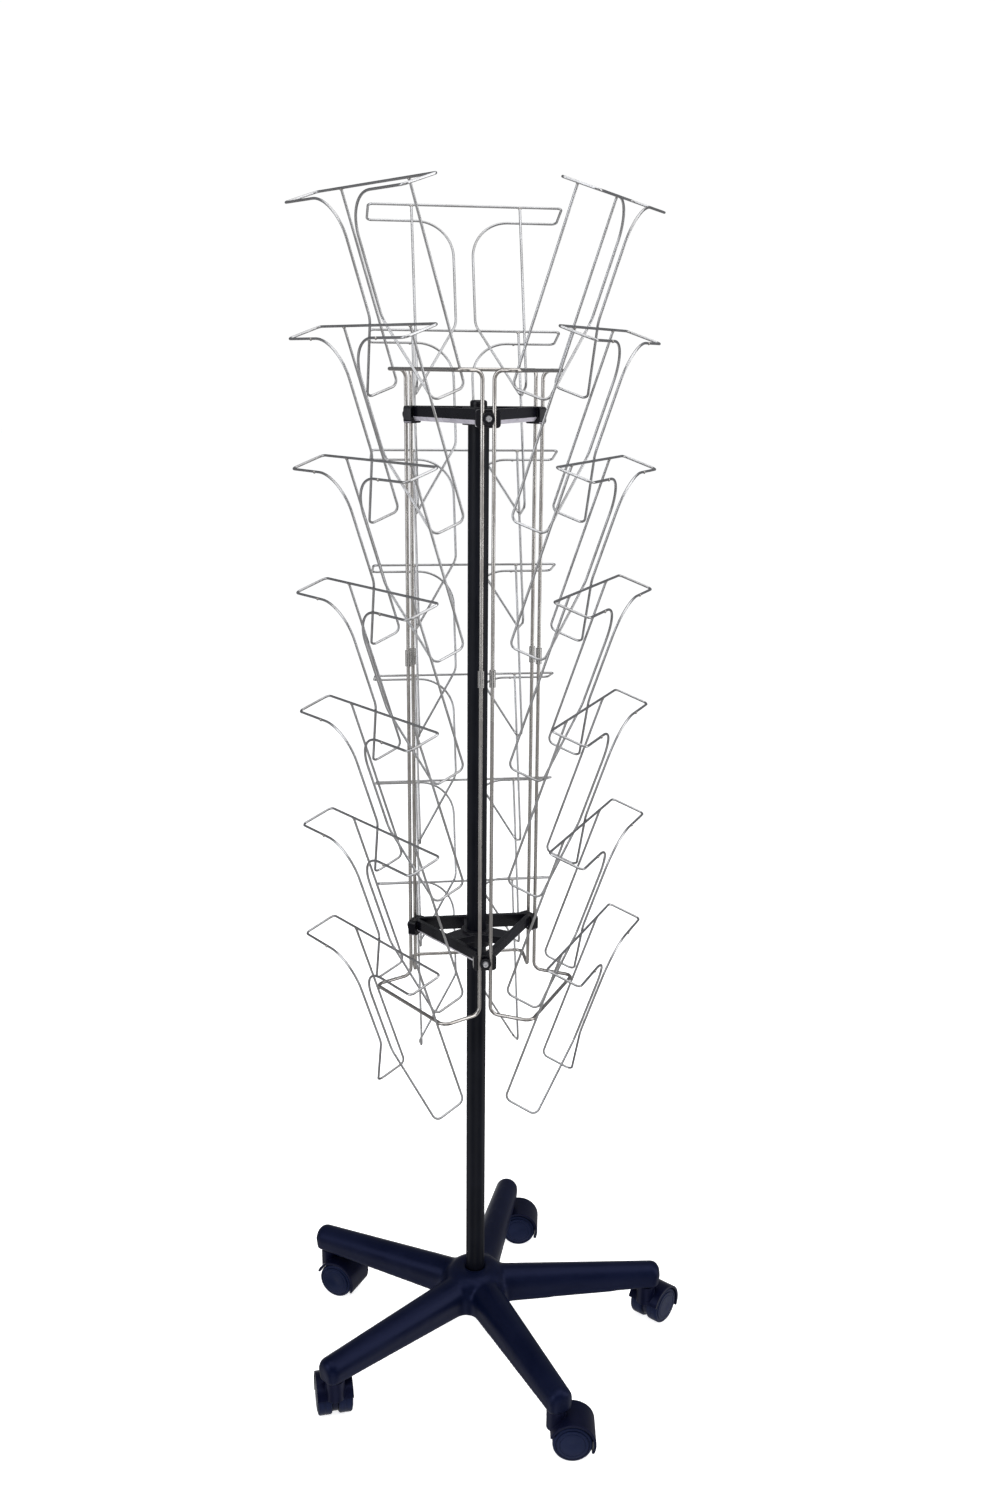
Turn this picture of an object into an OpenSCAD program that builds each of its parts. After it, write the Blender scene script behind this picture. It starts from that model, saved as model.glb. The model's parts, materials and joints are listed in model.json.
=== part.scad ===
// Rotating wire display rack on a five-star caster base.
// Three columns of leaning wire pockets hang on two triangular hubs. The hubs turn together
// on a fixed post. The origin is on the post's axis at floor level, and +Z is up.

/* [Pockets] */
// Height of the top pockets' back bar above the floor
top_rim_z = 1490; // [1470:1:1500]
// Vertical distance from one pocket to the next
pitch = 144.5; // [140:1:148]
// Angle by which a pocket's legs lean outwards at the top
lean = 19; // [17:0.5:20]
// Distance from the post's axis to a pocket's back bar
rim_out = 140; // [132:1:150]
// Width of a pocket's rim, centre to centre
pocket_w = 236; // [225:1:245]
// Length of a pocket's back legs along the lean
leg_len = 220; // [212:1:225]
// Distance of a back leg from the pocket's middle
leg_x = 66; // [60:1:70]
// Distance of a front stem from the pocket's middle
stem_x = 12; // [10:1:16]
// Radius of the shoulder where the front bar turns down into a stem
shoulder_r = 45; // [35:1:50]
// Distance below the rim at which the stems start to spread
spread_drop = 130; // [110:1:140]
// Diameter of the pocket wire
pocket_wire = 3; // [2.6:0.1:3.4]

/* [Wire frames] */
// Distance from the post's axis to the plane of a frame's uprights
frame_out = 51; // [50:0.5:53]
// Width of a frame, centre to centre of its uprights
frame_w = 150; // [148:0.5:151]
// Diameter of the frame wire
frame_wire = 4.5; // [4:0.1:5]
// Height at which the upper and lower frames join
joint_z = 955; // [900:5:1000]
// Bend radius of a frame's corners
frame_bend = 10; // [6:1:12]

/* [Hubs] */
// Height of the upper hub's top face
upper_hub_z = 1258; // [1250:1:1262]
// Height of the lower hub's top face
lower_hub_z = 610; // [600:1:650]
// Height of a hub's bars
hub_bar_h = 17; // [15:1:18]
// Height of a hub's corner blocks and boss
hub_block_h = 20; // [18:1:24]
// Diameter of a hub's centre boss
boss_d = 38; // [36:1:42]

/* [Post] */
// Outer diameter of the post
post_d = 25; // [25:0.5:26]
// Wall of the post
post_wall = 1.5; // [1.2:0.1:2]

/* [Base] */
// Distance from the axis to the end of an arm
arm_len = 260; // [250:1:300]
// Width of an arm at the hub
arm_root_w = 46; // [42:1:50]
// Width of an arm at its end
arm_tip_w = 34; // [32:1:38]
// Height of an arm's top at the hub
arm_root_z = 111; // [106:1:114]
// Height of an arm's top at its end
arm_tip_z = 96; // [92:1:98]

/* [Casters] */
// Diameter of a wheel
wheel_d = 50; // [48:1:50]
// Width of a wheel, without its hub cap
wheel_w = 18; // [16:1:18]
// Distance from the swivel axis to the wheel axle
trail = 20; // [18:1:21]

/* [Hidden] */
$fn = 64;
PANELS = ["a", "b", "c"];
ROWS = 7;
ARMS = 5;
// Directions that the three panels face
panel_dir = [210, 330, 90];
// Directions that the casters trail in, one per arm
trail_dir = [42, -10, -32, 95, -8];

fit = 0.05;          // radial running clearance
weld = 0.3;          // depth to which welded wires sink into each other
lap = 0.2;           // length by which a straight wire runs into the bend beside it
bend_thin = 0.02;    // amount by which a bend is thinner than its straights
rim_bend = 6;        // bend radius at the rim's corners
foot_bend = 8;       // bend radius at the pocket's foot
spread_bend = 25;    // bend radius where the stems spread

// Each pocket's foot is welded to the legs of the pocket below, which sets its depth
pocket_depth = pitch * sin(lean) - pocket_wire + weld;

// The cross bars are welded to the top pocket's legs in front, and the bottom pocket's behind
bar_offset = (pocket_wire + frame_wire) / 2 - weld;
top_bar_drop = 200;
bottom_bar_drop = 97;

// A frame's uprights seen from a hub corner: along its direction, and to either side
upright_radial = frame_out * cos(60) + frame_w / 2 * sin(60);
upright_side = frame_out * sin(60) - frame_w / 2 * cos(60);

sleeve_d = 7.5;
sleeve_len = 20;

hub_bar_t = 6;
hub_web_h = 10;
hub_lip = [4, 5];        // the sloping face along a bar's outer lower edge, inwards and up
hub_apothem = frame_out - frame_wire / 2 - 1.25;
block_w = 28;
block_t = 10;
clamp_d = 14;
clamp_t = 2;
screw_d = 4;
screw_len = 12;
screw_head_d = 8;
screw_head_h = 2.6;

bush_d = 30;
bush_top = 3;
bush_flange_d = 35;
bush_flange_t = 1.5;
plug_flange_t = 2;
plug_len = 35;
pivot_gap = 0.1;
hub_roof = 3;
dome_d = 20;
dome_h = 8;

post_top = upper_hub_z - hub_roof - bush_top - plug_flange_t;
arm_bottom = 64;
cast_bottom = arm_bottom - 2;    // the base's pieces start here and are trimmed level together
socket_floor = 6;
post_bottom = arm_bottom + socket_floor;
insert_h = 12;
base_boss_d = 84;
base_boss_top = 114;
boss_edge = 20;
arm_start = 32;
crotch_r = 15;
crotch_edge = 14;
skirt_inset = 0.6;
tip_edge = 11;           // rounding of an arm's blunt end
tip_x = arm_len - arm_tip_w / 2;
stem_out = tip_x - 1;

bolt_d = 8;
bolt_len = 24;
bolt_head_h = 5.5;
bolt_flange_d = 17;
bolt_flange_t = 1.5;

stem_d = 11;
stem_pin_d = 8;
stem_top = 82;
stem_collar_d = 20;
stem_collar_t = 1.6;
sleeve_od = 14;
sleeve_top = 83;

axle_d = 6;
hood_top = arm_bottom - stem_collar_t - 0.4;
hood_gap = 1.3;
hood_t = 3.2;
hood_w = 46;
hood_web = 7;
hood_boss_d = 25;
hood_low = -25;
hood_high = 160;
pin_bottom = 47;
wheel_gap = 0.5;
cap_d = 40;
cap_t = 0.8;
wheel_edge = 3;
axle_z = wheel_d / 2;

// ---- Bent wire -------------------------------------------------------------

function unit(v) = v / norm(v);

// Angle through which a wire turns at corner i of its path
function turn(path, i) = acos(unit(path[i] - path[i - 1]) * unit(path[i + 1] - path[i]));

// Length that a bend takes from each of the straights beside it
function cut(path, bends, i) =
    (i == 0 || i == len(path) - 1) ? 0 : bends[i] * tan(turn(path, i) / 2);

// A cylinder from a to b
module rod(a, b, d) {
    v = b - a;
    translate(a)
        rotate([0, acos(v[2] / norm(v)), atan2(v[1], v[0])])
            cylinder(d = d, h = norm(v));
}

// The bend at corner i: a piece of a ring whose ends lie just inside both straights
module elbow(path, bends, i, d) {
    d1 = unit(path[i] - path[i - 1]);
    d2 = unit(path[i + 1] - path[i]);
    axis = unit(cross(d1, d2));
    inward = cross(axis, d1);
    centre = path[i] - d1 * cut(path, bends, i) + inward * bends[i];
    multmatrix([
        [-inward[0], d1[0], axis[0], centre[0]],
        [-inward[1], d1[1], axis[1], centre[1]],
        [-inward[2], d1[2], axis[2], centre[2]],
        [0, 0, 0, 1]
    ])
        rotate_extrude(angle = turn(path, i))
            translate([bends[i], 0])
                circle(d = d - bend_thin, $fn = 24);
}

// Distance from corner i to the end of a straight beside it
function setback(path, bends, i) = max(0, cut(path, bends, i) - lap);

// A wire along a path of corners, with a bend radius for each corner
module wire(path, bends, d) {
    for (i = [0 : len(path) - 2]) {
        dir = unit(path[i + 1] - path[i]);
        start = path[i] + dir * setback(path, bends, i);
        end = path[i + 1] - dir * setback(path, bends, i + 1);
        rod(start, end, d, $fn = 24);
    }
    for (i = [1 : len(path) - 2])
        elbow(path, bends, i, d);
}

// The other half of a path that is the same on both sides
function mirrored(path) = [for (i = [len(path) - 1 : -1 : 0]) [path[i][0], -path[i][1], path[i][2]]];
function reversed(list) = [for (i = [len(list) - 1 : -1 : 0]) list[i]];

// ---- Pockets and frames ----------------------------------------------------

function rim_z(k) = top_rim_z - (k - 1) * pitch;

// A point of pocket k: across, out from its back plane, and down along its legs
function lean_point(k, across, out, down) = [
    rim_out + out * cos(lean) - down * sin(lean),
    across,
    rim_z(k) - out * sin(lean) - down * cos(lean)
];

// One wire makes a whole pocket: leg, foot, spread, stem, shoulder, rim, and back again
module pocket(p, k) {
    half = [
        lean_point(k, leg_x, 0, pocket_wire / 4),
        lean_point(k, leg_x, 0, leg_len),
        lean_point(k, leg_x, pocket_depth, leg_len),
        lean_point(k, stem_x, pocket_depth, spread_drop),
        lean_point(k, stem_x, pocket_depth, 0),
        lean_point(k, pocket_w / 2, pocket_depth, 0),
        lean_point(k, pocket_w / 2, 0, 0)
    ];
    bends = [0, foot_bend, foot_bend, spread_bend, shoulder_r, rim_bend, rim_bend];
    color([0.80, 0.80, 0.82])
        rotate([0, 0, panel_dir[p]])
            wire(concat(half, mirrored(half)), concat(bends, reversed(bends)), pocket_wire);
}

// Height and distance of a frame's cross bar, from the pocket that it is welded to
upper_bar = lean_point(1, 0, bar_offset, top_bar_drop);
lower_bar = lean_point(ROWS, 0, -bar_offset, bottom_bar_drop);

// A frame's wire: up one side, out, across, back and down the other
module frame_wire_loop(p, bar, end_z) {
    half = [
        [frame_out, frame_w / 2, end_z],
        [frame_out, frame_w / 2, bar[2]],
        [bar[0], frame_w / 2, bar[2]]
    ];
    bends = [0, frame_bend, frame_bend];
    color([0.74, 0.74, 0.76])
        rotate([0, 0, panel_dir[p]])
            wire(concat(half, mirrored(half)), concat(bends, reversed(bends)), frame_wire);
}

module frame_upper(p) {
    frame_wire_loop(p, upper_bar, joint_z + 0.5);
}

module frame_lower(p) {
    frame_wire_loop(p, lower_bar, joint_z - 0.5);
}

// Short tubes that join the upper and lower frames' uprights
module frame_sleeves() {
    color([0.62, 0.62, 0.64])
        for (p = [0 : 2], side = [-1, 1])
            rotate([0, 0, panel_dir[p]])
                translate([frame_out, side * frame_w / 2, joint_z - sleeve_len / 2])
                    difference() {
                        cylinder(d = sleeve_d, h = sleeve_len);
                        translate([0, 0, -1])
                            cylinder(d = frame_wire, h = sleeve_len + 2);
                    }
}

// ---- Hubs ------------------------------------------------------------------

// Places its children at each hub corner, with +X pointing outwards
module at_corners() {
    for (i = [0 : 2])
        rotate([0, 0, 30 + 120 * i])
            children();
}

// A slab with its long side across, and its corners rounded, that faces along +X
module rounded_slab(thick, across, high, r) {
    rotate([90, 0, 90])
        linear_extrude(thick) {
            square([across - 2 * r, high], center = true);
            square([across, high - 2 * r], center = true);
            for (sx = [-1, 1], sy = [-1, 1])
                translate([sx * (across / 2 - r), sy * (high / 2 - r)])
                    circle(r = r, $fn = 32);
        }
}

// The three bars, the webs, the corner blocks and the boss, with the top face at z = 0
module hub_body() {
    // bars, with a sloping face along the outer lower edge
    difference() {
        translate([0, 0, -hub_bar_h])
            linear_extrude(hub_bar_h)
                intersection() {
                    difference() {
                        rotate(30) circle(r = 2 * hub_apothem, $fn = 3);
                        rotate(30) circle(r = 2 * (hub_apothem - hub_bar_t), $fn = 3);
                    }
                    circle(r = upright_radial - 1, $fn = 96);
                }
        for (i = [0 : 2])
            rotate([90, 0, 90 + 120 * i])
                translate([hub_apothem, -hub_bar_h, 0])
                    linear_extrude(4 * hub_apothem, center = true)
                        polygon([
                            [-2 * hub_lip[0], -hub_lip[1]], [hub_lip[0], 2 * hub_lip[1]],
                            [3 * hub_lip[0], 2 * hub_lip[1]], [3 * hub_lip[0], -hub_lip[1]]
                        ]);
    }
    // webs
    for (i = [0 : 2])
        rotate([0, 0, 90 + 120 * i])
            translate([0, 0, -hub_web_h - 2])
                linear_extrude(hub_web_h)
                    polygon([
                        [0, -15], [hub_apothem - hub_bar_t / 2, -11],
                        [hub_apothem - hub_bar_t / 2, 11], [0, 15]
                    ]);
    // corner blocks
    at_corners()
        translate([upright_radial - block_t, 0, -hub_block_h / 2])
            rounded_slab(block_t, block_w, hub_block_h, 4);
    // boss
    translate([0, 0, -hub_block_h])
        cylinder(d = boss_d, h = hub_block_h);
}

// Cuts the grooves for the uprights and the screw holes
module hub_corner_cuts() {
    at_corners() {
        for (side = [-1, 1])
            translate([upright_radial, side * upright_side, -hub_block_h - 1])
                cylinder(d = frame_wire + 2 * fit, h = hub_block_h + 2, $fn = 32);
        translate([upright_radial + clamp_t + frame_wire / 2 - screw_len, 0, -hub_block_h / 2])
            rotate([0, 90, 0])
                cylinder(d = screw_d, h = screw_len, $fn = 32);
    }
}

module upper_hub() {
    color([0.06, 0.06, 0.07])
        translate([0, 0, upper_hub_z])
            difference() {
                union() {
                    hub_body();
                    cylinder(d = dome_d, h = dome_h - 3);
                    translate([0, 0, dome_h - 3])
                        rotate_extrude()
                            intersection() {
                                translate([dome_d / 2 - 3, 0]) circle(r = 3, $fn = 32);
                                square([dome_d / 2, 3]);
                            }
                    cylinder(d = dome_d - 6, h = dome_h);
                }
                translate([0, 0, -hub_block_h - 1])
                    cylinder(d = bush_d, h = hub_block_h + 1 - hub_roof);
                hub_corner_cuts();
            }
}

module lower_hub() {
    color([0.06, 0.06, 0.07])
        translate([0, 0, lower_hub_z])
            difference() {
                hub_body();
                translate([0, 0, -hub_block_h - 1])
                    cylinder(d = bush_d, h = hub_block_h + 2);
                hub_corner_cuts();
            }
}

// A cup pressed into the upper hub: it turns round the post's top and rests on the plug
module upper_bush() {
    top = upper_hub_z - hub_roof;
    color([0.92, 0.91, 0.87])
        difference() {
            translate([0, 0, upper_hub_z - hub_block_h])
                cylinder(d = bush_d, h = hub_block_h - hub_roof);
            translate([0, 0, upper_hub_z - hub_block_h - 1])
                cylinder(d = post_d + 2 * fit, h = top - bush_top + pivot_gap - upper_hub_z + hub_block_h + 1);
        }
}

// A flanged ring pressed into the lower hub
module lower_bush() {
    bottom = lower_hub_z - hub_block_h;
    color([0.92, 0.91, 0.87])
        difference() {
            union() {
                translate([0, 0, bottom])
                    cylinder(d = bush_d, h = hub_block_h);
                translate([0, 0, bottom - bush_flange_t])
                    cylinder(d = bush_flange_d, h = bush_flange_t);
            }
            translate([0, 0, bottom - bush_flange_t - 1])
                cylinder(d = post_d + 2 * fit, h = hub_block_h + bush_flange_t + 2);
        }
}

// Places its children at all six clamps, with +X pointing outwards from the uprights' front
module at_clamps() {
    for (z = [upper_hub_z, lower_hub_z])
        translate([0, 0, z - hub_block_h / 2])
            at_corners()
                translate([upright_radial + frame_wire / 2, 0, 0])
                    rotate([0, 90, 0])
                        children();
}

module clamp_washers() {
    color([0.78, 0.78, 0.80])
        at_clamps()
            difference() {
                cylinder(d = clamp_d, h = clamp_t);
                translate([0, 0, -1])
                    cylinder(d = screw_d + 0.4, h = clamp_t + 2, $fn = 32);
            }
}

module clamp_screws() {
    color([0.78, 0.78, 0.80])
        at_clamps() {
            translate([0, 0, clamp_t - screw_len])
                cylinder(d = screw_d, h = screw_len, $fn = 32);
            translate([0, 0, clamp_t])
                difference() {
                    cylinder(d1 = screw_head_d, d2 = screw_head_d - 2, h = screw_head_h, $fn = 48);
                    for (a = [0, 90])
                        rotate([0, 0, a])
                            translate([-2.2, -0.5, 1])
                                cube([4.4, 1, screw_head_h]);
                }
        }
}

// ---- Post and base ---------------------------------------------------------

// A tube, with a threaded insert welded into its foot
module post() {
    color([0.05, 0.05, 0.06])
        difference() {
            translate([0, 0, post_bottom])
                cylinder(d = post_d, h = post_top - post_bottom);
            translate([0, 0, post_bottom + insert_h])
                cylinder(d = post_d - 2 * post_wall, h = post_top - post_bottom);
            translate([0, 0, post_bottom - 1])
                cylinder(d = bolt_d, h = insert_h + 2);
        }
}

// A plug in the post's top, on which the turning part rests
module pivot_plug() {
    color([0.72, 0.72, 0.74]) {
        translate([0, 0, post_top - plug_len])
            cylinder(d = post_d - 2 * post_wall, h = plug_len);
        translate([0, 0, post_top])
            cylinder(d = post_d - 0.2, h = plug_flange_t);
    }
}

module foot_bolt() {
    color([0.72, 0.72, 0.74]) {
        translate([0, 0, arm_bottom])
            cylinder(d = bolt_d, h = bolt_len, $fn = 32);
        translate([0, 0, arm_bottom - bolt_flange_t])
            cylinder(d = bolt_flange_d, h = bolt_flange_t);
        translate([0, 0, arm_bottom - bolt_flange_t - bolt_head_h])
            cylinder(d = 15, h = bolt_head_h, $fn = 6);
    }
}

// Half of an arm's width, and the height of the axis of its rounded back, at distance x
function arm_half(x) = (arm_root_w + (arm_tip_w - arm_root_w) * x / tip_x) / 2;
function arm_axis_z(x) =
    arm_root_z + (arm_tip_z - arm_root_z) * x / tip_x - arm_half(x);

// A flat shape with its far corners rounded, 2r wide, that reaches from y = 0 to r
module blunt(r) {
    translate([-r, 0]) square([2 * r, r - tip_edge]);
    translate([-(r - tip_edge), 0]) square([2 * (r - tip_edge), r]);
    for (side = [-1, 1])
        translate([side * (r - tip_edge), r - tip_edge]) circle(r = tip_edge);
}

// One arm: a rounded back that narrows and falls towards a blunt end, over a straight skirt
module arm() {
    run = tip_x - arm_start;
    drop = arm_axis_z(arm_start) - arm_axis_z(tip_x);
    length = norm([run, drop]);
    root_r = arm_half(arm_start);
    tip_r = arm_tip_w / 2;
    skirt_root = root_r - skirt_inset;
    skirt_tip = tip_r - skirt_inset;
    difference() {
        translate([arm_start, 0, arm_axis_z(arm_start)])
            rotate([0, 90 + atan2(drop, run), 0])
                rotate_extrude()
                    intersection() {
                        union() {
                            polygon([[0, 0], [root_r, 0], [tip_r, length], [0, length]]);
                            translate([0, length]) blunt(tip_r);
                        }
                        square([arm_root_w, 2 * arm_len]);
                    }
        translate([0, -arm_root_w, 0])
            cube([2 * arm_len, 2 * arm_root_w, cast_bottom]);
    }
    intersection() {
        translate([0, 0, cast_bottom])
            linear_extrude(arm_root_z - cast_bottom) {
                polygon([
                    [arm_start, -skirt_root], [tip_x, -skirt_tip],
                    [tip_x, skirt_tip], [arm_start, skirt_root]
                ]);
                translate([tip_x, 0])
                    rotate(-90)
                        blunt(skirt_tip);
            }
        rotate([90, 0, 0])
            linear_extrude(2 * arm_root_w, center = true)
                polygon([
                    [arm_start - 1, cast_bottom - 1], [arm_len + 10, cast_bottom - 1],
                    [arm_len + 10, arm_axis_z(arm_len + 10)], [arm_start - 1, arm_axis_z(arm_start - 1)]
                ]);
    }
}

// Fills the corner between two neighbouring arms with a hollow curve and a rounded top edge
module crotch() {
    half = 180 / ARMS;
    side = arm_half(arm_root_w) - skirt_inset;
    reach = (side + crotch_r) / tan(half);
    middle = (side + crotch_r) / sin(half);
    crotch_h = arm_axis_z(0) + crotch_edge - 4 - cast_bottom;
    difference() {
        translate([0, 0, cast_bottom])
            linear_extrude(crotch_h)
                polygon([
                    [reach / 2, side / 2 - 3], [reach, side - 3], [reach, side],
                    [middle * cos(half), middle * sin(half)],
                    [reach * cos(2 * half) + side * sin(2 * half),
                     reach * sin(2 * half) - side * cos(2 * half)],
                    [reach * cos(2 * half) + (side - 3) * sin(2 * half),
                     reach * sin(2 * half) - (side - 3) * cos(2 * half)],
                    [reach / 2 * cos(2 * half) + (side / 2 - 3) * sin(2 * half),
                     reach / 2 * sin(2 * half) - (side / 2 - 3) * cos(2 * half)]
                ]);
        translate([middle * cos(half), middle * sin(half), cast_bottom - 1])
            rotate_extrude() {
                square([crotch_r, crotch_h + 3]);
                translate([0, crotch_h + 1 - crotch_edge])
                    difference() {
                        square([crotch_r + crotch_edge, crotch_edge + 2]);
                        translate([crotch_r + crotch_edge, 0]) circle(r = crotch_edge);
                    }
            }
    }
}

// The raised centre of the base, with a rounded shoulder round the post
module base_boss() {
    rotate_extrude() {
        translate([0, cast_bottom])
            square([base_boss_d / 2, base_boss_top - boss_edge - cast_bottom]);
        translate([0, cast_bottom])
            square([base_boss_d / 2 - boss_edge, base_boss_top - cast_bottom]);
        translate([base_boss_d / 2 - boss_edge, base_boss_top - boss_edge])
            circle(r = boss_edge);
    }
}

module star_base() {
    color([0.05, 0.06, 0.13])
        difference() {
            union() {
                for (i = [0 : ARMS - 1])
                    rotate([0, 0, i * 360 / ARMS]) {
                        arm();
                        crotch();
                    }
                base_boss();
            }
            translate([-arm_len - 10, -arm_len - 10, 0])
                cube([2 * arm_len + 20, 2 * arm_len + 20, arm_bottom]);
            translate([0, 0, post_bottom])
                cylinder(d = post_d, h = base_boss_top);
            translate([0, 0, arm_bottom - 1])
                cylinder(d = bolt_d + 0.4, h = socket_floor + 2);
            for (i = [0 : ARMS - 1])
                rotate([0, 0, i * 360 / ARMS])
                    translate([stem_out, 0, arm_bottom - 1])
                        cylinder(d = sleeve_od, h = sleeve_top - arm_bottom + 1);
        }
}

// ---- Casters ---------------------------------------------------------------

// Places its children on the swivel axis of caster i, with +X trailing
module at_caster(i) {
    rotate([0, 0, (i - 1) * 360 / ARMS])
        translate([stem_out, 0, 0])
            rotate([0, 0, trail_dir[i - 1] - (i - 1) * 360 / ARMS])
                children();
}

module caster_sleeves() {
    color([0.70, 0.70, 0.72])
        for (i = [1 : ARMS])
            at_caster(i)
                translate([0, 0, arm_bottom])
                    difference() {
                        cylinder(d = sleeve_od, h = sleeve_top - arm_bottom);
                        translate([0, 0, -1])
                            cylinder(d = stem_d, h = sleeve_top - arm_bottom + 2);
                    }
}

module caster_stems() {
    color([0.72, 0.72, 0.74])
        for (i = [1 : ARMS])
            at_caster(i) {
                translate([0, 0, pin_bottom])
                    cylinder(d = stem_pin_d, h = arm_bottom - pin_bottom);
                translate([0, 0, arm_bottom - stem_collar_t])
                    cylinder(d = stem_collar_d, h = stem_collar_t);
                translate([0, 0, arm_bottom])
                    cylinder(d = stem_d, h = stem_top - arm_bottom);
            }
}

// Places its children on the wheel axle, with +Z along it and the trailing side at +X
module on_axle() {
    translate([trail, 0, axle_z])
        rotate([90, 0, 0])
            children();
}

// A sector of a disc round the axle, from the low back edge to the front
module sector(r, w) {
    rotate([0, 0, hood_low])
        rotate_extrude(angle = hood_high - hood_low)
            translate([0, -w / 2])
                square([r, w]);
}

// A cover over both wheels, a round web between them and a boss round the swivel pin
module caster_hood(i) {
    inner = wheel_d / 2 + hood_gap;
    color([0.04, 0.05, 0.10])
        at_caster(i)
            difference() {
                union() {
                    on_axle() {
                        sector(inner + hood_t, hood_w);
                        cylinder(d = axle_d + 8, h = hood_w - 6, center = true);
                        cylinder(r = wheel_d / 2 - 3.5, h = hood_web + 2, center = true);
                    }
                    translate([0, 0, axle_z + 10])
                        cylinder(d = hood_boss_d, h = hood_top - axle_z - 10);
                }
                for (s = [-1, 1])
                    on_axle()
                        translate([0, 0, s * (hood_web / 2 + 20)])
                            cylinder(r = inner, h = 40, center = true);
                translate([0, 0, pin_bottom - 0.5])
                    cylinder(d = stem_pin_d + 2 * fit, h = 40);
                on_axle()
                    cylinder(d = axle_d, h = hood_web + 2, center = true);
            }
}

module caster_axle(i) {
    color([0.72, 0.72, 0.74])
        at_caster(i)
            on_axle()
                cylinder(d = axle_d, h = hood_web + 2 * wheel_gap + 2 * (wheel_w - 2.5), center = true);
}

// A wheel with rounded edges, a blind bore and a flat round cap on its outer face
module wheel(i, side) {
    r = wheel_d / 2;
    color([0.05, 0.06, 0.12])
        at_caster(i)
            on_axle()
                mirror([0, 0, side > 0 ? 1 : 0])
                    translate([0, 0, hood_web / 2 + wheel_gap])
                        difference() {
                            union() {
                                rotate_extrude() {
                                    square([r - wheel_edge, wheel_w]);
                                    translate([0, wheel_edge])
                                        square([r, wheel_w - 2 * wheel_edge]);
                                    for (z = [wheel_edge, wheel_w - wheel_edge])
                                        translate([r - wheel_edge, z])
                                            circle(r = wheel_edge, $fn = 32);
                                }
                                cylinder(d = cap_d, h = wheel_w + cap_t);
                            }
                            translate([0, 0, -1])
                                cylinder(d = axle_d + 2 * fit, h = wheel_w - 1);
                        }
}

// ---- Parts -----------------------------------------------------------------

star_base();
post();
foot_bolt();
pivot_plug();
caster_sleeves();
caster_stems();
upper_hub();
lower_hub();
upper_bush();
lower_bush();
clamp_washers();
clamp_screws();
frame_sleeves();
for (p = [0 : 2]) {
    frame_upper(p);
    frame_lower(p);
    for (k = [1 : ROWS])
        pocket(p, k);
}
for (i = [1 : ARMS]) {
    caster_hood(i);
    caster_axle(i);
    wheel(i, 1);
    wheel(i, -1);
}
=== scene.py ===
import json
import math

import bmesh
import bpy
from mathutils import Matrix, Vector, noise


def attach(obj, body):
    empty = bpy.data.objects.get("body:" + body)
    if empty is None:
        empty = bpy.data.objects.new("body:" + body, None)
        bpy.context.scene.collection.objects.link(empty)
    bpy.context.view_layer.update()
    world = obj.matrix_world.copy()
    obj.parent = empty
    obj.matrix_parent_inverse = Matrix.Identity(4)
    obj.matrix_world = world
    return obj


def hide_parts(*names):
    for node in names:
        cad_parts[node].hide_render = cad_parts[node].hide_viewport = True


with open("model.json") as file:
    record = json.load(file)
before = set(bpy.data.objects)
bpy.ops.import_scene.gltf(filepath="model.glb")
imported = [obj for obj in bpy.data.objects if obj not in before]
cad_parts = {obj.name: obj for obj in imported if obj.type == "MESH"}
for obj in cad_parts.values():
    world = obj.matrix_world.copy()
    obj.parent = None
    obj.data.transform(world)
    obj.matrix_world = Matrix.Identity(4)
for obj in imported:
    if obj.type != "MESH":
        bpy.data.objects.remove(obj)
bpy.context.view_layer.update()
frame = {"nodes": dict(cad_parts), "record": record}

MM = 0.001

# Sizes of the CAD model that the added pieces follow, in millimetres and degrees.
# Panels and pockets: each panel's bearing, then the rows of leaning pockets on it
PANEL_DIR = {"a": 210, "b": 330, "c": 90}
ROWS = 7
TOP_RIM_Z = 1490
PITCH = 144.5
LEAN = math.radians(19)
RIM_OUT = 140
POCKET_WIRE = 3.0
FRAME_WIRE = 4.5
WELD_SINK = 0.3
LEG_X = 66
POCKET_DEPTH = PITCH * math.sin(LEAN) - POCKET_WIRE + WELD_SINK
BAR_OFFSET = (POCKET_WIRE + FRAME_WIRE) / 2 - WELD_SINK
TOP_BAR_DROP = 200
BOTTOM_BAR_DROP = 97
# Base and casters: swivel axes on the five arms, and the bearing in which each caster trails
ARMS = 5
STEM_OUT = 242
TRAIL = 20
TRAIL_DIR = [42, -10, -32, 95, -8]
WHEEL_R = 25
WHEEL_W = 18
WHEEL_INNER = 4.0
WHEEL_BORE_R = 3.05
CAP_R = 20


# ---- Materials -------------------------------------------------------------

def new_material(name):
    mat = bpy.data.materials.new(name)
    mat.use_nodes = True
    tree = mat.node_tree
    tree.nodes.clear()
    out = tree.nodes.new("ShaderNodeOutputMaterial")
    shader = tree.nodes.new("ShaderNodeBsdfPrincipled")
    tree.links.new(shader.outputs["BSDF"], out.inputs["Surface"])
    return mat, tree, shader


def object_coords(tree, scale=(1, 1, 1), rotation=(0, 0, 0)):
    coords = tree.nodes.new("ShaderNodeTexCoord")
    mapping = tree.nodes.new("ShaderNodeMapping")
    mapping.inputs["Scale"].default_value = scale
    mapping.inputs["Rotation"].default_value = rotation
    tree.links.new(coords.outputs["Object"], mapping.inputs["Vector"])
    return mapping.outputs["Vector"]


def noise_value(tree, vector, scale, detail=3, roughness=0.55):
    node = tree.nodes.new("ShaderNodeTexNoise")
    node.inputs["Scale"].default_value = scale
    node.inputs["Detail"].default_value = detail
    node.inputs["Roughness"].default_value = roughness
    tree.links.new(vector, node.inputs["Vector"])
    return node.outputs["Fac"]


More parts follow.
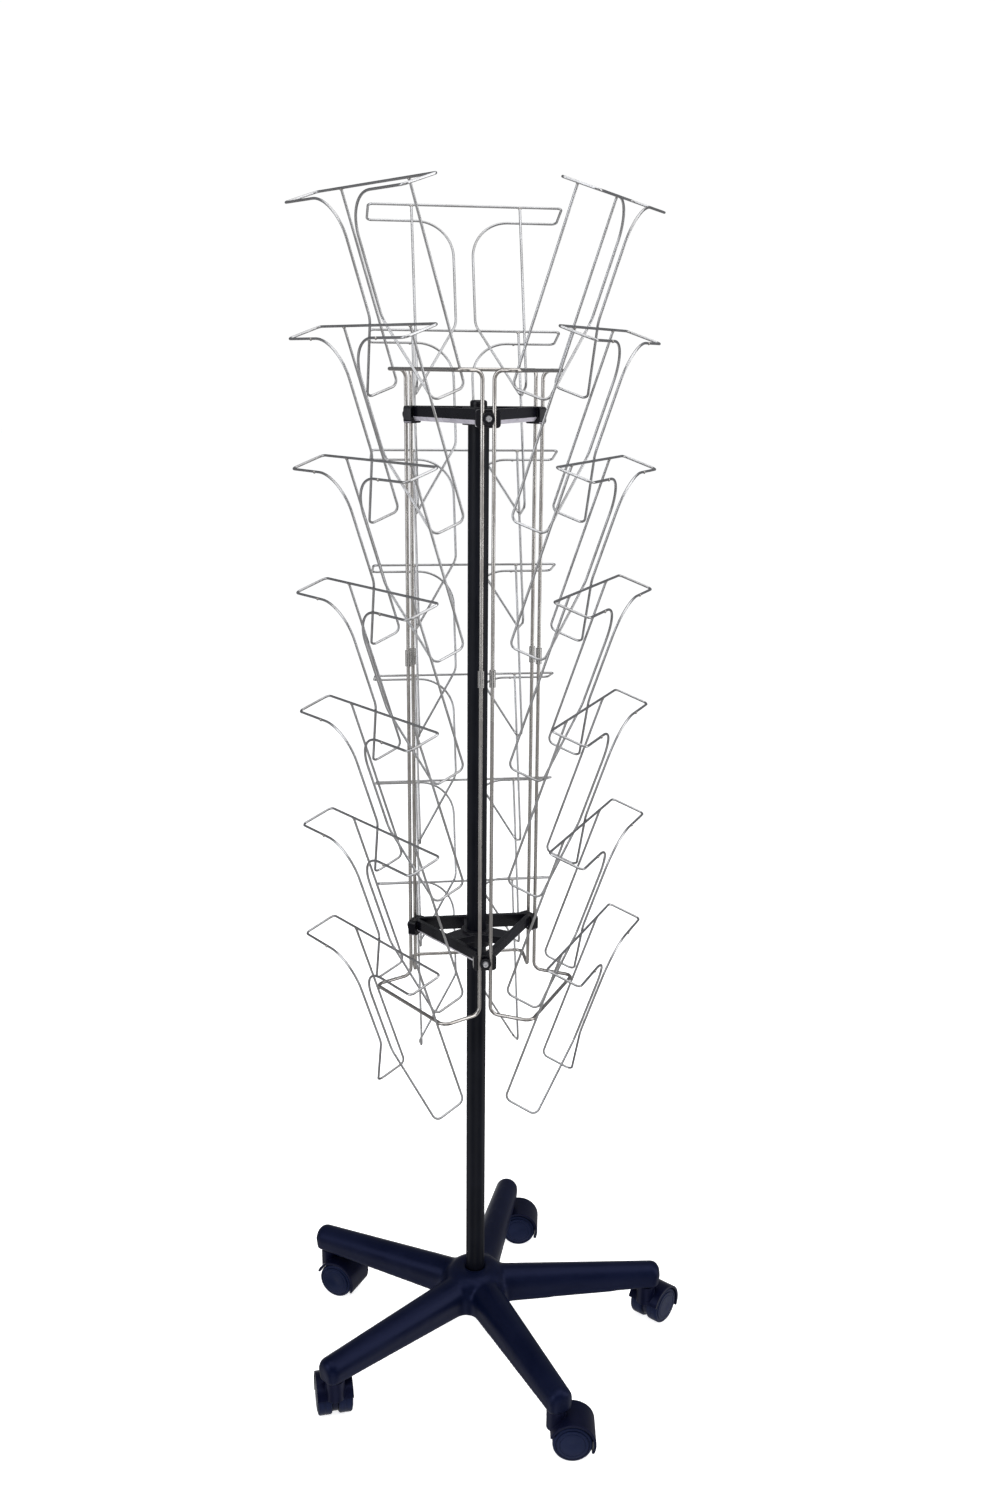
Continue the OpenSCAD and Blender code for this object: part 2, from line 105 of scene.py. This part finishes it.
def remap(tree, value, low, high, to_low, to_high, smooth=False):
    node = tree.nodes.new("ShaderNodeMapRange")
    if smooth:
        node.interpolation_type = "SMOOTHSTEP"
    node.inputs["From Min"].default_value = low
    node.inputs["From Max"].default_value = high
    node.inputs["To Min"].default_value = to_low
    node.inputs["To Max"].default_value = to_high
    tree.links.new(value, node.inputs["Value"])
    return node.outputs["Result"]


def math_node(tree, operation, a, b):
    node = tree.nodes.new("ShaderNodeMath")
    node.operation = operation
    for socket, value in zip(node.inputs, (a, b)):
        if isinstance(value, (int, float)):
            socket.default_value = value
        else:
            tree.links.new(value, socket)
    return node.outputs["Value"]


def mix_colour(tree, factor, a, b):
    node = tree.nodes.new("ShaderNodeMix")
    node.data_type = "RGBA"
    tree.links.new(factor, node.inputs["Factor"])
    for socket, value in ((node.inputs[6], a), (node.inputs[7], b)):
        if isinstance(value, tuple):
            socket.default_value = (*value, 1)
        else:
            tree.links.new(value, socket)
    return node.outputs[2]


def bump(tree, height, strength, distance, normal=None):
    node = tree.nodes.new("ShaderNodeBump")
    node.inputs["Strength"].default_value = strength
    node.inputs["Distance"].default_value = distance
    tree.links.new(height, node.inputs["Height"])
    if normal is not None:
        tree.links.new(normal, node.inputs["Normal"])
    return node.outputs["Normal"]


def rounded_normal(tree, radius):
    node = tree.nodes.new("ShaderNodeBevel")
    node.samples = 6
    node.inputs["Radius"].default_value = radius
    return node.outputs["Normal"]


def edge_mask(tree, normal, soft=0.06):
    # 1 along edges, where the rounded normal departs from the face's own
    geometry = tree.nodes.new("ShaderNodeNewGeometry")
    dot = tree.nodes.new("ShaderNodeVectorMath")
    dot.operation = "DOT_PRODUCT"
    tree.links.new(geometry.outputs["Normal"], dot.inputs[0])
    tree.links.new(normal, dot.inputs[1])
    return remap(tree, dot.outputs["Value"], 0.995 - soft, 0.995, 1, 0)


def plated_wire(name, bright, dull, low_rough, high_rough):
    """Bright chrome on drawn wire: faint draw lines, dull patches and small dark specks."""
    mat, tree, shader = new_material(name)
    even = object_coords(tree)
    drawn = object_coords(tree, (1, 1, 0.05), (0, 0, 0.6))
    patches = noise_value(tree, even, scale=24, detail=4)
    lines = noise_value(tree, drawn, scale=2200, detail=1)
    specks = noise_value(tree, even, scale=700, detail=2, roughness=0.7)
    spots = remap(tree, specks, 0.70, 0.78, 0, 0.45)
    tone = mix_colour(tree, remap(tree, patches, 0.35, 0.7, 0, 1, True), bright, dull)
    dark = tuple(0.45 * c for c in dull)
    tree.links.new(mix_colour(tree, spots, tone, dark), shader.inputs["Base Color"])
    rough = remap(tree, patches, 0.3, 0.7, low_rough, high_rough)
    rough = math_node(tree, "ADD", rough, math_node(tree, "MULTIPLY", spots, 0.25))
    tree.links.new(rough, shader.inputs["Roughness"])
    tree.links.new(bump(tree, lines, 0.04, 0.04 * MM), shader.inputs["Normal"])
    shader.inputs["Metallic"].default_value = 1.0
    return mat


def plain_metal(name, bright, dull, rough, scale=120):
    """Zinc plate: a soft crystalline mottle and fine scratches."""
    mat, tree, shader = new_material(name)
    even = object_coords(tree)
    scratched = object_coords(tree, (1, 14, 1), (0.3, 0.2, 0.7))
    mottle = noise_value(tree, even, scale, detail=5, roughness=0.7)
    scratch = noise_value(tree, scratched, scale=260, detail=2)
    tone = mix_colour(tree, remap(tree, mottle, 0.35, 0.68, 0, 1), bright, dull)
    tree.links.new(tone, shader.inputs["Base Color"])
    tree.links.new(remap(tree, mottle, 0.3, 0.7, rough, rough + 0.16), shader.inputs["Roughness"])
    rounded = rounded_normal(tree, 0.4 * MM)
    tree.links.new(bump(tree, scratch, 0.15, 0.08 * MM, rounded), shader.inputs["Normal"])
    shader.inputs["Metallic"].default_value = 1.0
    return mat


# Grey of the painted reflection of the floor along the lower edges of the hubs' bars
LIP_REFLECTION_PAINT = (0.42, 0.40, 0.45)


def powder_paint(name, colour, worn, rough, peel, radius, streaks, specular, lip_painted_reflection=False):
    """Black stoved paint: orange peel, rubbed edges and faint hairline scratches.

    With the lip option, a pale grey painted reflection of the floor, mottled by the haze, goes on the
    downward sloping face along the lower edge of a hub's bars.
    """
    mat, tree, shader = new_material(name)
    even = object_coords(tree)
    peel_height = noise_value(tree, even, peel, detail=2, roughness=0.4)
    haze = noise_value(tree, even, scale=14, detail=4)
    hair = noise_value(tree, object_coords(tree, streaks), scale=420, detail=2, roughness=0.8)
    rounded = rounded_normal(tree, radius)
    rubbed = remap(tree, haze, 0.42, 0.62, 0, 0.7)
    edges = math_node(tree, "MULTIPLY", edge_mask(tree, rounded), rubbed)
    lighter = tuple(1.8 * c + 0.002 for c in colour)
    tone = mix_colour(tree, remap(tree, haze, 0.35, 0.75, 0, 1), colour, lighter)
    tone = mix_colour(tree, edges, tone, worn)
    # Painted reflection: faces that slope downward along the bars' lower edge take a pale grey patch,
    # standing in for the floor seen in them
    if lip_painted_reflection:
        slope = tree.nodes.new("ShaderNodeNewGeometry")
        split = tree.nodes.new("ShaderNodeSeparateXYZ")
        tree.links.new(slope.outputs["True Normal"], split.inputs["Vector"])
        sloping = math_node(
            tree, "MULTIPLY",
            remap(tree, split.outputs["Z"], -0.45, -0.55, 0, 1),
            remap(tree, split.outputs["Z"], -0.80, -0.70, 0, 1),
        )
        lip_reflection_mask = math_node(tree, "MULTIPLY", sloping, remap(tree, haze, 0.35, 0.6, 0.55, 1))
        tone = mix_colour(tree, lip_reflection_mask, tone, LIP_REFLECTION_PAINT)
    tree.links.new(tone, shader.inputs["Base Color"])
    roughness = remap(tree, haze, 0.3, 0.75, rough, rough + 0.12)
    scuffs = remap(tree, hair, 0.66, 0.74, 0, 0.12)
    tree.links.new(math_node(tree, "ADD", roughness, scuffs), shader.inputs["Roughness"])
    tree.links.new(bump(tree, peel_height, 0.22, 0.2 * MM, rounded), shader.inputs["Normal"])
    shader.inputs["Specular IOR Level"].default_value = specular
    return mat


NAVY_SHEEN = (0.42, 0.48, 1.0)


def moulded_nylon(name, colour, dust, rough, radius, dust_top, tint=NAVY_SHEEN):
    """Moulded navy-black nylon: spark-eroded grain, flow haze, scuffs and dust low down."""
    mat, tree, shader = new_material(name)
    even = object_coords(tree)
    flowed = object_coords(tree, (1, 1, 2.5))
    dragged = object_coords(tree, (6, 1, 1), (0.1, 0.3, 0.9))
    grain = noise_value(tree, even, scale=1500, detail=2, roughness=0.6)
    flow = noise_value(tree, flowed, scale=11, detail=5, roughness=0.6)
    scuff = noise_value(tree, dragged, scale=130, detail=3, roughness=0.7)
    rounded = rounded_normal(tree, radius)
    separate = tree.nodes.new("ShaderNodeSeparateXYZ")
    tree.links.new(even, separate.inputs["Vector"])
    low_down = remap(tree, separate.outputs["Z"], 0.0, dust_top, 1, 0, True)
    dusty = math_node(tree, "MULTIPLY", low_down, remap(tree, flow, 0.42, 0.68, 0, 0.3))
    rubbed = remap(tree, scuff, 0.66, 0.74, 0, 0.35)
    lighter = tuple(1.5 * c + 0.003 for c in colour)
    tone = mix_colour(tree, remap(tree, flow, 0.3, 0.7, 0, 1), colour, lighter)
    tone = mix_colour(tree, math_node(tree, "MAXIMUM", dusty, rubbed), tone, dust)
    tree.links.new(tone, shader.inputs["Base Color"])
    roughness = remap(tree, flow, 0.3, 0.7, rough - 0.05, rough + 0.08)
    roughness = math_node(tree, "ADD", roughness, math_node(tree, "MULTIPLY", rubbed, 0.4))
    tree.links.new(roughness, shader.inputs["Roughness"])
    tree.links.new(bump(tree, grain, 0.25, 0.1 * MM, rounded), shader.inputs["Normal"])
    shader.inputs["Specular IOR Level"].default_value = 0.17
    shader.inputs["Specular Tint"].default_value = (*tint, 1)
    return mat


# One material for each slot of the record, and one for the weld beads.
# Radii and heights are in metres, and scales are per metre
MATERIALS = {
    "pocket_wire": plated_wire(
        "chrome_wire_3mm", bright=(0.50, 0.50, 0.51), dull=(0.38, 0.375, 0.375),
        low_rough=0.26, high_rough=0.36,
    ),
    "frame_wire": plated_wire(
        "chrome_wire_4mm", bright=(0.53, 0.51, 0.49), dull=(0.39, 0.365, 0.345),
        low_rough=0.22, high_rough=0.32,
    ),
    "sleeve_steel": plated_wire(
        "chrome_sleeve", bright=(0.50, 0.49, 0.48), dull=(0.36, 0.35, 0.34),
        low_rough=0.16, high_rough=0.30,
    ),
    "zinc_steel": plain_metal(
        "zinc_plate", bright=(0.70, 0.70, 0.72), dull=(0.50, 0.50, 0.53), rough=0.22,
    ),
    "weld_steel": plain_metal(
        "weld_bead", bright=(0.50, 0.48, 0.46), dull=(0.30, 0.28, 0.26), rough=0.30, scale=420,
    ),
    "post_paint": powder_paint(
        "post_black", colour=(0.002, 0.0025, 0.005), worn=(0.02, 0.02, 0.025), rough=0.32,
        peel=700, radius=0.8 * MM, streaks=(1, 1, 0.02), specular=0.12,
    ),
    # The hub paint carries a painted reflection of the floor along the lower edge of its bars
    "hub_paint": powder_paint(
        "hub_black", colour=(0.002, 0.002, 0.004), worn=(0.05, 0.05, 0.055), rough=0.22,
        peel=520, radius=1.2 * MM, streaks=(1, 1, 12), specular=0.22, lip_painted_reflection=True,
    ),
    "base_plastic": moulded_nylon(
        "base_nylon", colour=(0.001, 0.0024, 0.0125), dust=(0.010, 0.013, 0.03), rough=0.34,
        radius=3 * MM, dust_top=0.02,
    ),
    "caster_plastic": moulded_nylon(
        "caster_nylon", colour=(0.0015, 0.0022, 0.011), dust=(0.016, 0.016, 0.03), rough=0.32,
        radius=1.2 * MM, dust_top=0.05,
    ),
    "wheel_plastic": moulded_nylon(
        "wheel_nylon", colour=(0.003, 0.006, 0.022), dust=(0.03, 0.03, 0.045), rough=0.36,
        radius=0.6 * MM, dust_top=0.03,
    ),
    "bush_plastic": moulded_nylon(
        "acetal", colour=(0.006, 0.006, 0.008), dust=(0.02, 0.02, 0.02), rough=0.42,
        radius=0.5 * MM, dust_top=0.01, tint=(1, 1, 1),
    ),
}


def paint(obj, slot):
    obj.data.materials.clear()
    obj.data.materials.append(MATERIALS[slot])


SLOT_OF = {s["node"]: s["material_slot"] for s in frame["record"]["subparts"]}
for node, obj in frame["nodes"].items():
    paint(obj, SLOT_OF[node])


# ---- Mesh helpers ----------------------------------------------------------

def add_piece(name, mesh, slot, body, material=None):
    """A new piece that rides on a body; material is given where it differs from the slot's own."""
    obj = bpy.data.objects.new(name, mesh)
    bpy.context.scene.collection.objects.link(obj)
    paint(obj, material or slot)
    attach(obj, body)
    return obj


def mesh_from(bm, name, smooth_angle=None):
    mesh = bpy.data.meshes.new(name)
    bm.normal_update()
    bm.to_mesh(mesh)
    bm.free()
    mesh.polygons.foreach_set("use_smooth", [True] * len(mesh.polygons))
    if smooth_angle is not None:
        mesh.set_sharp_from_angle(angle=math.radians(smooth_angle))
    mesh.update()
    return mesh


def lathe(profile, matrix, name, segments=72, smooth_angle=35):
    """A closed profile of (radius, height) points in millimetres, turned about Z, then placed."""
    bm = bmesh.new()
    rings = []
    for radius, height in profile:
        if radius < 1e-6:
            rings.append([bm.verts.new((0, 0, height * MM))])
            continue
        ring = []
        for k in range(segments):
            turn = 2 * math.pi * k / segments
            point = (radius * math.cos(turn), radius * math.sin(turn), height)
            ring.append(bm.verts.new([c * MM for c in point]))
        rings.append(ring)
    for low, high in zip(rings, rings[1:]):
        for k in range(segments):
            n = (k + 1) % segments
            if len(low) == 1 and len(high) == 1:
                continue
            if len(low) == 1:
                bm.faces.new((low[0], high[n], high[k]))
            elif len(high) == 1:
                bm.faces.new((low[k], low[n], high[0]))
            else:
                bm.faces.new((low[k], low[n], high[n], high[k]))
    bm.transform(matrix)
    bmesh.ops.recalc_face_normals(bm, faces=bm.faces)
    return mesh_from(bm, name, smooth_angle)


def arc(centre, radius, start, end, steps):
    """Points on an arc from start to end, in degrees."""
    points = []
    for k in range(steps + 1):
        turn = math.radians(start + (end - start) * k / steps)
        points.append((centre[0] + radius * math.cos(turn), centre[1] + radius * math.sin(turn)))
    return points


# ---- Base: the moulded star with soft fillets ------------------------------

# The star's skin is welded, rebuilt in small voxels and smoothed, which rounds every edge
STAR_WELD = 0.02 * MM
STAR_VOXEL = 2.2 * MM
STAR_SMOOTH_PASSES = 14


def moulded_star():
    cad = frame["nodes"]["star_base"]
    mesh = cad.data.copy()
    obj = bpy.data.objects.new("star_base_moulded", mesh)
    bpy.context.scene.collection.objects.link(obj)
    weld = obj.modifiers.new("weld", "WELD")
    weld.merge_threshold = STAR_WELD
    remesh = obj.modifiers.new("remesh", "REMESH")
    remesh.mode = "VOXEL"
    remesh.voxel_size = STAR_VOXEL
    remesh.adaptivity = 0.0
    soften = obj.modifiers.new("soften", "SMOOTH")
    soften.factor = 0.5
    soften.iterations = STAR_SMOOTH_PASSES
    bpy.context.view_layer.update()
    evaluated = obj.evaluated_get(bpy.context.evaluated_depsgraph_get())
    smooth = bpy.data.meshes.new_from_object(evaluated)
    obj.modifiers.clear()
    obj.data = smooth
    smooth.polygons.foreach_set("use_smooth", [True] * len(smooth.polygons))
    smooth.update()
    paint(obj, "base_plastic")
    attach(obj, "stand")
    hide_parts("star_base")


moulded_star()


# ---- Casters: wheels turned with a tread, a ring groove and a domed cap ----

def caster_frame(i):
    """The swivel axis of caster i, with +X trailing."""
    arm = math.radians((i - 1) * 360 / ARMS)
    place = Matrix.Translation((STEM_OUT * MM * math.cos(arm), STEM_OUT * MM * math.sin(arm), 0))
    return place @ Matrix.Rotation(math.radians(TRAIL_DIR[i - 1]), 4, "Z")


def axle_frame(i, side):
    """On the axle of caster i, with +Z towards the outer face of the wheel on that side."""
    axle = caster_frame(i) @ Matrix.Translation((TRAIL * MM, 0, WHEEL_R * MM))
    return axle @ Matrix.Rotation(math.radians(90 if side > 0 else -90), 4, "X")


def wheel_profile():
    inner = WHEEL_INNER
    outer = inner + WHEEL_W
    shoulder = 3
    groove_floor = WHEEL_R - 0.35
    ring_floor = outer - 0.9
    cap_rim = 0.7
    bore_end = outer - 2
    # Inner face and tread, with a shallow groove round its middle
    points = [(WHEEL_BORE_R, inner), (WHEEL_R - shoulder, inner)]
    points += arc((WHEEL_R - shoulder, inner + shoulder), shoulder, -90, 0, 6)
    points += [(WHEEL_R, inner + 8.4), (groove_floor, inner + 8.8)]
    points += [(groove_floor, inner + 9.6), (WHEEL_R, inner + 10.0)]
    points += arc((WHEEL_R - shoulder, outer - shoulder), shoulder, 0, 90, 6)
    # Ring groove around the cap, and the cap's rounded rim
    points += [(CAP_R + 1.4, outer), (CAP_R + 1.1, ring_floor), (CAP_R + 0.2, ring_floor)]
    points += arc((CAP_R - cap_rim, outer + 0.1), cap_rim, 0, 90, 4)
    # A fine line on the cap, its face and the dimple at its centre
    points += [(CAP_R - 3.2, outer + 0.78), (CAP_R - 3.6, outer + 0.3)]
    points += [(CAP_R - 4.4, outer + 0.3), (CAP_R - 4.8, outer + 0.76)]
    points += [(6.0, outer + 0.8), (4.6, outer + 0.5), (0, outer + 0.35)]
    # Blind bore for the axle
    points += [(0, bore_end), (WHEEL_BORE_R, bore_end), (WHEEL_BORE_R, inner)]
    return points


def add_wheels():
    for i in range(1, ARMS + 1):
        for side, word, letter in ((1, "left", "l"), (-1, "right", "r")):
            name = f"wheel_{word}_{i}_turned"
            mesh = lathe(wheel_profile(), axle_frame(i, side), name, segments=84)
            wheel = add_piece(name, mesh, "wheel_plastic", f"wheel_{letter}_{i}")
            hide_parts(f"wheel_{word}_{i}")


add_wheels()


# ---- Weld nuggets where wires cross ----------------------------------------

def lean_point(k, across, out, down):
    """A point of pocket k: across it, out from its back, and down its back, in its panel's frame."""
    return Vector((
        RIM_OUT + out * math.cos(LEAN) - down * math.sin(LEAN),
        across,
        TOP_RIM_Z - (k - 1) * PITCH - out * math.sin(LEAN) - down * math.cos(LEAN),
    )) * MM


def nugget(bm, place, size, seed):
    """A lumpy ellipsoid with half sizes `size` in millimetres."""
    ball = bmesh.ops.create_icosphere(bm, subdivisions=2, radius=1)
    for vert in ball["verts"]:
        swell = 1 + 0.16 * noise.noise(vert.co * 1.7 + Vector((seed * 7.1, seed * 3.3, 0)))
        vert.co = place @ Vector([c * s * MM * swell for c, s in zip(vert.co, size)])


# Half sizes of the nuggets: at a pocket's back bar, where two pockets join, and on the frames
RIM_WELD = (1.9, 2.5, 1.7)
JOIN_WELD = (1.1, 2.2, 2.0)
FRAME_WELD = (1.3, 2.4, 2.2)


def weld_places():
    rim_drop = 1.4
    join_out = POCKET_DEPTH + POCKET_WIRE / 2 - WELD_SINK / 2
    frame_out = 0.45 * BAR_OFFSET
    places = []
    for k in range(1, ROWS + 1):
        places.append((lean_point(k, LEG_X, 0, rim_drop), RIM_WELD))
        if k > 1:
            places.append((lean_point(k, LEG_X, join_out, 0), JOIN_WELD))
    places.append((lean_point(1, LEG_X, frame_out, TOP_BAR_DROP), FRAME_WELD))
    places.append((lean_point(ROWS, LEG_X, -frame_out, BOTTOM_BAR_DROP), FRAME_WELD))
    return places


def add_welds():
    tilt = Matrix.Rotation(LEAN, 4, "Y")
    for panel, direction in PANEL_DIR.items():
        turn = Matrix.Rotation(math.radians(direction), 4, "Z")
        bm = bmesh.new()
        seed = direction
        for place, size in weld_places():
            for side in (1, -1):
                seed += 1
                where = Vector((place.x, side * place.y, place.z))
                nugget(bm, turn @ Matrix.Translation(where) @ tilt, size, seed)
        mesh = mesh_from(bm, f"welds_{panel}")
        add_piece(f"welds_{panel}", mesh, "pocket_wire", "carousel", "weld_steel")


add_welds()


# ---- Floor, light and camera -----------------------------------------------

FLOOR_REACH = 30
SURROUND_R = 28
FLOOR_GAP = 0.2 * MM


def add_floor():
    """A pale floor just under the wheels, faintly lit from itself so that it stays nearly white."""
    bm = bmesh.new()
    bmesh.ops.create_grid(bm, x_segments=2, y_segments=2, size=FLOOR_REACH)
    floor = bpy.data.objects.new("floor", mesh_from(bm, "floor"))
    bpy.context.scene.collection.objects.link(floor)
    floor.location.z = -FLOOR_GAP
    mat, tree, shader = new_material("pale_floor")
    cloud = noise_value(tree, object_coords(tree), scale=2, detail=3)
    tone = mix_colour(tree, cloud, (0.93, 0.93, 0.935), (0.96, 0.96, 0.96))
    tree.links.new(tone, shader.inputs["Base Color"])
    shader.inputs["Roughness"].default_value = 0.9
    shader.inputs["Specular IOR Level"].default_value = 0.1
    shader.inputs["Emission Color"].default_value = (1, 1, 1, 1)
    shader.inputs["Emission Strength"].default_value = 0.82
    floor.data.materials.append(mat)
    floor.visible_glossy = False


def add_backdrop():
    """A white surround behind everything, not seen in reflections, so that chrome keeps its contrast."""
    bm = bmesh.new()
    bmesh.ops.create_icosphere(bm, subdivisions=4, radius=SURROUND_R)
    sphere = bpy.data.objects.new("backdrop", mesh_from(bm, "backdrop"))
    bpy.context.scene.collection.objects.link(sphere)
    mat, tree, shader = new_material("backdrop_white")
    shader.inputs["Base Color"].default_value = (0, 0, 0, 1)
    shader.inputs["Emission Color"].default_value = (1, 1, 1, 1)
    shader.inputs["Emission Strength"].default_value = 1.0
    sphere.data.materials.append(mat)
    sphere.visible_diffuse = False
    sphere.visible_glossy = False
    sphere.visible_transmission = False
    sphere.visible_shadow = False


def add_area(name, place, target, width, height, power, colour=(1, 1, 1)):
    """A softbox at place, aimed at target."""
    light = bpy.data.lights.new(name, "AREA")
    light.shape = "RECTANGLE"
    light.size = width
    light.size_y = height
    light.energy = power
    light.color = colour
    obj = bpy.data.objects.new(name, light)
    obj.location = place
    aim = Vector(target) - Vector(place)
    obj.rotation_euler = aim.to_track_quat("-Z", "Y").to_euler()
    bpy.context.scene.collection.objects.link(obj)


def add_flag(name, place, width=0.8, height=2.6, grey=0.03):
    """A dark card beside the set, seen only in reflections, which gives the chrome its dark edges."""
    bm = bmesh.new()
    bmesh.ops.create_grid(bm, x_segments=1, y_segments=1, size=0.5)
    bm.transform(Matrix.Diagonal((width, height, 1, 1)))
    card = bpy.data.objects.new(name, mesh_from(bm, name))
    bpy.context.scene.collection.objects.link(card)
    card.location = place
    aim = Vector((0, 0, place[2])) - Vector(place)
    card.rotation_euler = aim.to_track_quat("Z", "Y").to_euler()
    mat, tree, shader = new_material(name)
    cloud = noise_value(tree, object_coords(tree), scale=3)
    tone = mix_colour(tree, cloud, (grey, grey, grey), (grey * 1.3, grey * 1.3, grey * 1.35))
    tree.links.new(tone, shader.inputs["Base Color"])
    shader.inputs["Roughness"].default_value = 0.9
    card.data.materials.append(mat)
    card.visible_camera = False
    card.visible_diffuse = False
    card.visible_shadow = False


def add_world():
    """A grey studio over a pale ground with four dark gaps in it, which streak the chrome."""
    bpy.context.scene.view_settings.view_transform = "Standard"
    world = bpy.data.worlds.new("studio")
    bpy.context.scene.world = world
    world.use_nodes = True
    tree = world.node_tree
    back = tree.nodes["Background"]
    coords = tree.nodes.new("ShaderNodeTexCoord")
    split = tree.nodes.new("ShaderNodeSeparateXYZ")
    tree.links.new(coords.outputs["Generated"], split.inputs["Vector"])
    bearing = math_node(tree, "ARCTAN2", split.outputs["Y"], split.outputs["X"])
    ripple = math_node(tree, "COSINE", math_node(tree, "MULTIPLY", bearing, 4), 0)
    cards = remap(tree, ripple, -0.4, 0.6, 0, 1, True)
    ground = mix_colour(tree, cards, (0.20, 0.20, 0.21), (0.85, 0.85, 0.84))
    below = remap(tree, split.outputs["Z"], -0.1, 0.08, 1, 0, True)
    sky = mix_colour(tree, below, (0.20, 0.205, 0.215), ground)
    tree.links.new(sky, back.inputs["Color"])
    back.inputs["Strength"].default_value = 1.0


# The camera stands 1.7 m in front and 1.3 m up, looks down and a little right, and leans a touch
CAMERA_PLACE = (-0.2036, -1.7091, 1.3054)
CAMERA_YAW = -8.314
CAMERA_DOWN = 15.593
CAMERA_ROLL = 0.647
CAMERA_LENS = 34.52
CAMERA_SHIFT = (-0.0103, 0.0110)


def add_camera():
    camera = bpy.data.cameras.new("camera")
    camera.lens = CAMERA_LENS
    camera.shift_x, camera.shift_y = CAMERA_SHIFT
    camera.clip_start = 0.05
    obj = bpy.data.objects.new("camera", camera)
    place = Matrix.Translation(CAMERA_PLACE)
    yaw = Matrix.Rotation(math.radians(CAMERA_YAW), 4, "Z")
    pitch = Matrix.Rotation(math.radians(90 - CAMERA_DOWN), 4, "X")
    roll = Matrix.Rotation(math.radians(CAMERA_ROLL), 4, "Z")
    obj.matrix_world = place @ yaw @ pitch @ roll
    bpy.context.scene.collection.objects.link(obj)
    bpy.context.scene.camera = obj


add_floor()
add_backdrop()
add_world()
add_area("overhead", (0.3, -0.6, 3.4), (0, 0, 0.6), width=4.0, height=3.2, power=75)
add_area(
    "left_softbox", (-2.6, -1.6, 1.8), (0, 0, 0.8),
    width=2.0, height=2.6, power=45, colour=(0.95, 0.97, 1.0),
)
add_area("right_softbox", (2.4, -1.0, 1.5), (0, 0, 0.7), width=1.6, height=2.4, power=30)
add_flag("flag_left", (-1.7, -2.6, 1.2))
add_flag("flag_right", (1.5, -2.7, 1.2))
add_camera()

bpy.context.view_layer.update()
